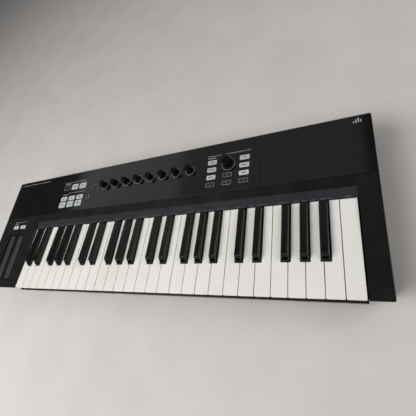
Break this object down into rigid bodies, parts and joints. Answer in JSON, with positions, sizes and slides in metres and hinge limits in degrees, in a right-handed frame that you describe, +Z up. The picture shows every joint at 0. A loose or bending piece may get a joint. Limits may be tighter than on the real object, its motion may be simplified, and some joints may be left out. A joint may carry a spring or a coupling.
{
  "type": "midi keyboard",
  "caption": "Desktop MIDI keyboard controller with piano-style keys, a row of knobs, a browse dial, button blocks and two touch strips in a flat black case.",
  "frame": {"origin": "under the middle of the case, on the surface it stands on", "axes": "+X to the player's right along the keys, +Y from the player to the rear, +Z up"},
  "size_m": [0.838, 0.273, 0.0875],
  "materials": {
    "case": "fine moulded texture",
    "panel": "satin",
    "guide": "smoked translucent",
    "chassis": "glass-filled",
    "steel": "zinc plated",
    "circuit": "solder mask",
    "strip": "satin",
    "socket": "moulded",
    "rubber": "matte",
    "knob": "semi-gloss",
    "switch": "semi-gloss",
    "button": "translucent silicone",
    "dark_button": "silicone",
    "white_key": "satin gloss",
    "black_key": "satin"
  },
  "bodies": {
    "root": {"bottom_case": "case", "top_case": "case", "end_cheeks": "case", "control_panel": "panel", "light_guide": "guide", "key_chassis": "chassis", "pivot_rod": "steel", "circuit_boards": "circuit", "touch_strips": "strip", "rear_sockets": "socket", "rubber_feet": "rubber", "case_screws": "steel"},
    "power_switch": {"power_switch": "switch"},
    "black_keys_a_sharp": {"black_keys_a_sharp": "black_key"},
    "black_keys_c_sharp": {"black_keys_c_sharp": "black_key"},
    "black_keys_d_sharp": {"black_keys_d_sharp": "black_key"},
    "black_keys_f_sharp": {"black_keys_f_sharp": "black_key"},
    "black_keys_g_sharp": {"black_keys_g_sharp": "black_key"},
    "knob_1": {"knob_1": "knob"},
    "knob_2": {"knob_2": "knob"},
    "knob_3": {"knob_3": "knob"},
    "knob_4": {"knob_4": "knob"},
    "knob_5": {"knob_5": "knob"},
    "knob_6": {"knob_6": "knob"},
    "knob_7": {"knob_7": "knob"},
    "knob_8": {"knob_8": "knob"},
    "browse_dial": {"browse_dial": "knob"},
    "function_keypad": {"function_keypad": "button"},
    "transport_keypad": {"transport_keypad": "button"},
    "navigation_keypad": {"navigation_keypad": "dark_button"},
    "octave_keypad": {"octave_keypad": "button"},
    "white_key_01": {"white_key_01": "white_key"},
    "white_key_02": {"white_key_02": "white_key"},
    "white_key_03": {"white_key_03": "white_key"},
    "white_key_04": {"white_key_04": "white_key"},
    "white_key_05": {"white_key_05": "white_key"},
    "white_key_06": {"white_key_06": "white_key"},
    "white_key_07": {"white_key_07": "white_key"},
    "white_key_08": {"white_key_08": "white_key"},
    "white_key_09": {"white_key_09": "white_key"},
    "white_key_10": {"white_key_10": "white_key"},
    "white_key_11": {"white_key_11": "white_key"},
    "white_key_12": {"white_key_12": "white_key"},
    "white_key_13": {"white_key_13": "white_key"},
    "white_key_14": {"white_key_14": "white_key"},
    "white_key_15": {"white_key_15": "white_key"},
    "white_key_16": {"white_key_16": "white_key"},
    "white_key_17": {"white_key_17": "white_key"},
    "white_key_18": {"white_key_18": "white_key"},
    "white_key_19": {"white_key_19": "white_key"},
    "white_key_20": {"white_key_20": "white_key"},
    "white_key_21": {"white_key_21": "white_key"},
    "white_key_22": {"white_key_22": "white_key"},
    "white_key_23": {"white_key_23": "white_key"},
    "white_key_24": {"white_key_24": "white_key"},
    "white_key_25": {"white_key_25": "white_key"},
    "white_key_26": {"white_key_26": "white_key"},
    "white_key_27": {"white_key_27": "white_key"},
    "white_key_28": {"white_key_28": "white_key"},
    "white_key_29": {"white_key_29": "white_key"}
  },
  "joints": [
    {"name": "power_switch_rock", "type": "hinge", "parent": "root", "child": "power_switch", "pos_m": [0.374, 0.1324, 0.052], "axis": [0, 0, 1], "range_deg": [-16, 0]},
    {"name": "black_keys_a_sharp_press", "type": "hinge", "parent": "root", "child": "black_keys_a_sharp", "pos_m": [0, 0.0505, 0.055], "axis": [1, 0, 0], "range_deg": [0, 3.1], "stiffness_Nm_per_rad": 1.2, "springref_deg": -20.05},
    {"name": "black_keys_c_sharp_press", "type": "hinge", "parent": "root", "child": "black_keys_c_sharp", "pos_m": [0, 0.0505, 0.055], "axis": [1, 0, 0], "range_deg": [0, 3.1], "stiffness_Nm_per_rad": 1.2, "springref_deg": -20.05},
    {"name": "black_keys_d_sharp_press", "type": "hinge", "parent": "root", "child": "black_keys_d_sharp", "pos_m": [0, 0.0505, 0.055], "axis": [1, 0, 0], "range_deg": [0, 3.1], "stiffness_Nm_per_rad": 1.2, "springref_deg": -20.05},
    {"name": "black_keys_f_sharp_press", "type": "hinge", "parent": "root", "child": "black_keys_f_sharp", "pos_m": [0, 0.0505, 0.055], "axis": [1, 0, 0], "range_deg": [0, 3.1], "stiffness_Nm_per_rad": 1.2, "springref_deg": -20.05},
    {"name": "black_keys_g_sharp_press", "type": "hinge", "parent": "root", "child": "black_keys_g_sharp", "pos_m": [0, 0.0505, 0.055], "axis": [1, 0, 0], "range_deg": [0, 3.1], "stiffness_Nm_per_rad": 1.2, "springref_deg": -20.05},
    {"name": "knob_1_turn", "type": "hinge", "parent": "root", "child": "knob_1", "pos_m": [-0.0985, 0.08722, 0.07411], "axis": [0, -0.0384, 0.9993], "continuous": true},
    {"name": "knob_2_turn", "type": "hinge", "parent": "root", "child": "knob_2", "pos_m": [-0.0679, 0.08722, 0.07411], "axis": [0, -0.0384, 0.9993], "continuous": true},
    {"name": "knob_3_turn", "type": "hinge", "parent": "root", "child": "knob_3", "pos_m": [-0.0373, 0.08722, 0.07411], "axis": [0, -0.0384, 0.9993], "continuous": true},
    {"name": "knob_4_turn", "type": "hinge", "parent": "root", "child": "knob_4", "pos_m": [-0.0067, 0.08722, 0.07411], "axis": [0, -0.0384, 0.9993], "continuous": true},
    {"name": "knob_5_turn", "type": "hinge", "parent": "root", "child": "knob_5", "pos_m": [0.0239, 0.08722, 0.07411], "axis": [0, -0.0384, 0.9993], "continuous": true},
    {"name": "knob_6_turn", "type": "hinge", "parent": "root", "child": "knob_6", "pos_m": [0.0545, 0.08722, 0.07411], "axis": [0, -0.0384, 0.9993], "continuous": true},
    {"name": "knob_7_turn", "type": "hinge", "parent": "root", "child": "knob_7", "pos_m": [0.0851, 0.08722, 0.07411], "axis": [0, -0.0384, 0.9993], "continuous": true},
    {"name": "knob_8_turn", "type": "hinge", "parent": "root", "child": "knob_8", "pos_m": [0.1157, 0.08722, 0.07411], "axis": [0, -0.0384, 0.9993], "continuous": true},
    {"name": "browse_dial_turn", "type": "hinge", "parent": "root", "child": "browse_dial", "pos_m": [0.1931, 0.08822, 0.07414], "axis": [0, -0.0384, 0.9993], "continuous": true},
    {"name": "function_keypad_press", "type": "slide", "parent": "root", "child": "function_keypad", "axis": [0, 0.0384, -0.9993], "range_m": [0, 0.0012], "stiffness_N_per_m": 400, "springref_m": -0.004},
    {"name": "transport_keypad_press", "type": "slide", "parent": "root", "child": "transport_keypad", "axis": [0, 0.0384, -0.9993], "range_m": [0, 0.0012], "stiffness_N_per_m": 400, "springref_m": -0.004},
    {"name": "navigation_keypad_press", "type": "slide", "parent": "root", "child": "navigation_keypad", "axis": [0, 0.0384, -0.9993], "range_m": [0, 0.0012], "stiffness_N_per_m": 400, "springref_m": -0.004},
    {"name": "octave_keypad_press", "type": "slide", "parent": "root", "child": "octave_keypad", "axis": [0, 0.0384, -0.9993], "range_m": [0, 0.0012], "stiffness_N_per_m": 400, "springref_m": -0.004},
    {"name": "white_key_01_press", "type": "hinge", "parent": "root", "child": "white_key_01", "pos_m": [0, 0.0505, 0.055], "axis": [1, 0, 0], "range_deg": [0, 3.1], "stiffness_Nm_per_rad": 0.33, "springref_deg": -20.05},
    {"name": "white_key_02_press", "type": "hinge", "parent": "root", "child": "white_key_02", "pos_m": [0, 0.0505, 0.055], "axis": [1, 0, 0], "range_deg": [0, 3.1], "stiffness_Nm_per_rad": 0.33, "springref_deg": -20.05},
    {"name": "white_key_03_press", "type": "hinge", "parent": "root", "child": "white_key_03", "pos_m": [0, 0.0505, 0.055], "axis": [1, 0, 0], "range_deg": [0, 3.1], "stiffness_Nm_per_rad": 0.33, "springref_deg": -20.05},
    {"name": "white_key_04_press", "type": "hinge", "parent": "root", "child": "white_key_04", "pos_m": [0, 0.0505, 0.055], "axis": [1, 0, 0], "range_deg": [0, 3.1], "stiffness_Nm_per_rad": 0.33, "springref_deg": -20.05},
    {"name": "white_key_05_press", "type": "hinge", "parent": "root", "child": "white_key_05", "pos_m": [0, 0.0505, 0.055], "axis": [1, 0, 0], "range_deg": [0, 3.1], "stiffness_Nm_per_rad": 0.33, "springref_deg": -20.05},
    {"name": "white_key_06_press", "type": "hinge", "parent": "root", "child": "white_key_06", "pos_m": [0, 0.0505, 0.055], "axis": [1, 0, 0], "range_deg": [0, 3.1], "stiffness_Nm_per_rad": 0.33, "springref_deg": -20.05},
    {"name": "white_key_07_press", "type": "hinge", "parent": "root", "child": "white_key_07", "pos_m": [0, 0.0505, 0.055], "axis": [1, 0, 0], "range_deg": [0, 3.1], "stiffness_Nm_per_rad": 0.33, "springref_deg": -20.05},
    {"name": "white_key_08_press", "type": "hinge", "parent": "root", "child": "white_key_08", "pos_m": [0, 0.0505, 0.055], "axis": [1, 0, 0], "range_deg": [0, 3.1], "stiffness_Nm_per_rad": 0.33, "springref_deg": -20.05},
    {"name": "white_key_09_press", "type": "hinge", "parent": "root", "child": "white_key_09", "pos_m": [0, 0.0505, 0.055], "axis": [1, 0, 0], "range_deg": [0, 3.1], "stiffness_Nm_per_rad": 0.33, "springref_deg": -20.05},
    {"name": "white_key_10_press", "type": "hinge", "parent": "root", "child": "white_key_10", "pos_m": [0, 0.0505, 0.055], "axis": [1, 0, 0], "range_deg": [0, 3.1], "stiffness_Nm_per_rad": 0.33, "springref_deg": -20.05},
    {"name": "white_key_11_press", "type": "hinge", "parent": "root", "child": "white_key_11", "pos_m": [0, 0.0505, 0.055], "axis": [1, 0, 0], "range_deg": [0, 3.1], "stiffness_Nm_per_rad": 0.33, "springref_deg": -20.05},
    {"name": "white_key_12_press", "type": "hinge", "parent": "root", "child": "white_key_12", "pos_m": [0, 0.0505, 0.055], "axis": [1, 0, 0], "range_deg": [0, 3.1], "stiffness_Nm_per_rad": 0.33, "springref_deg": -20.05},
    {"name": "white_key_13_press", "type": "hinge", "parent": "root", "child": "white_key_13", "pos_m": [0, 0.0505, 0.055], "axis": [1, 0, 0], "range_deg": [0, 3.1], "stiffness_Nm_per_rad": 0.33, "springref_deg": -20.05},
    {"name": "white_key_14_press", "type": "hinge", "parent": "root", "child": "white_key_14", "pos_m": [0, 0.0505, 0.055], "axis": [1, 0, 0], "range_deg": [0, 3.1], "stiffness_Nm_per_rad": 0.33, "springref_deg": -20.05},
    {"name": "white_key_15_press", "type": "hinge", "parent": "root", "child": "white_key_15", "pos_m": [0, 0.0505, 0.055], "axis": [1, 0, 0], "range_deg": [0, 3.1], "stiffness_Nm_per_rad": 0.33, "springref_deg": -20.05},
    {"name": "white_key_16_press", "type": "hinge", "parent": "root", "child": "white_key_16", "pos_m": [0, 0.0505, 0.055], "axis": [1, 0, 0], "range_deg": [0, 3.1], "stiffness_Nm_per_rad": 0.33, "springref_deg": -20.05},
    {"name": "white_key_17_press", "type": "hinge", "parent": "root", "child": "white_key_17", "pos_m": [0, 0.0505, 0.055], "axis": [1, 0, 0], "range_deg": [0, 3.1], "stiffness_Nm_per_rad": 0.33, "springref_deg": -20.05},
    {"name": "white_key_18_press", "type": "hinge", "parent": "root", "child": "white_key_18", "pos_m": [0, 0.0505, 0.055], "axis": [1, 0, 0], "range_deg": [0, 3.1], "stiffness_Nm_per_rad": 0.33, "springref_deg": -20.05},
    {"name": "white_key_19_press", "type": "hinge", "parent": "root", "child": "white_key_19", "pos_m": [0, 0.0505, 0.055], "axis": [1, 0, 0], "range_deg": [0, 3.1], "stiffness_Nm_per_rad": 0.33, "springref_deg": -20.05},
    {"name": "white_key_20_press", "type": "hinge", "parent": "root", "child": "white_key_20", "pos_m": [0, 0.0505, 0.055], "axis": [1, 0, 0], "range_deg": [0, 3.1], "stiffness_Nm_per_rad": 0.33, "springref_deg": -20.05},
    {"name": "white_key_21_press", "type": "hinge", "parent": "root", "child": "white_key_21", "pos_m": [0, 0.0505, 0.055], "axis": [1, 0, 0], "range_deg": [0, 3.1], "stiffness_Nm_per_rad": 0.33, "springref_deg": -20.05},
    {"name": "white_key_22_press", "type": "hinge", "parent": "root", "child": "white_key_22", "pos_m": [0, 0.0505, 0.055], "axis": [1, 0, 0], "range_deg": [0, 3.1], "stiffness_Nm_per_rad": 0.33, "springref_deg": -20.05},
    {"name": "white_key_23_press", "type": "hinge", "parent": "root", "child": "white_key_23", "pos_m": [0, 0.0505, 0.055], "axis": [1, 0, 0], "range_deg": [0, 3.1], "stiffness_Nm_per_rad": 0.33, "springref_deg": -20.05},
    {"name": "white_key_24_press", "type": "hinge", "parent": "root", "child": "white_key_24", "pos_m": [0, 0.0505, 0.055], "axis": [1, 0, 0], "range_deg": [0, 3.1], "stiffness_Nm_per_rad": 0.33, "springref_deg": -20.05},
    {"name": "white_key_25_press", "type": "hinge", "parent": "root", "child": "white_key_25", "pos_m": [0, 0.0505, 0.055], "axis": [1, 0, 0], "range_deg": [0, 3.1], "stiffness_Nm_per_rad": 0.33, "springref_deg": -20.05},
    {"name": "white_key_26_press", "type": "hinge", "parent": "root", "child": "white_key_26", "pos_m": [0, 0.0505, 0.055], "axis": [1, 0, 0], "range_deg": [0, 3.1], "stiffness_Nm_per_rad": 0.33, "springref_deg": -20.05},
    {"name": "white_key_27_press", "type": "hinge", "parent": "root", "child": "white_key_27", "pos_m": [0, 0.0505, 0.055], "axis": [1, 0, 0], "range_deg": [0, 3.1], "stiffness_Nm_per_rad": 0.33, "springref_deg": -20.05},
    {"name": "white_key_28_press", "type": "hinge", "parent": "root", "child": "white_key_28", "pos_m": [0, 0.0505, 0.055], "axis": [1, 0, 0], "range_deg": [0, 3.1], "stiffness_Nm_per_rad": 0.33, "springref_deg": -20.05},
    {"name": "white_key_29_press", "type": "hinge", "parent": "root", "child": "white_key_29", "pos_m": [0, 0.0505, 0.055], "axis": [1, 0, 0], "range_deg": [0, 3.1], "stiffness_Nm_per_rad": 0.33, "springref_deg": -20.05}
  ]
}
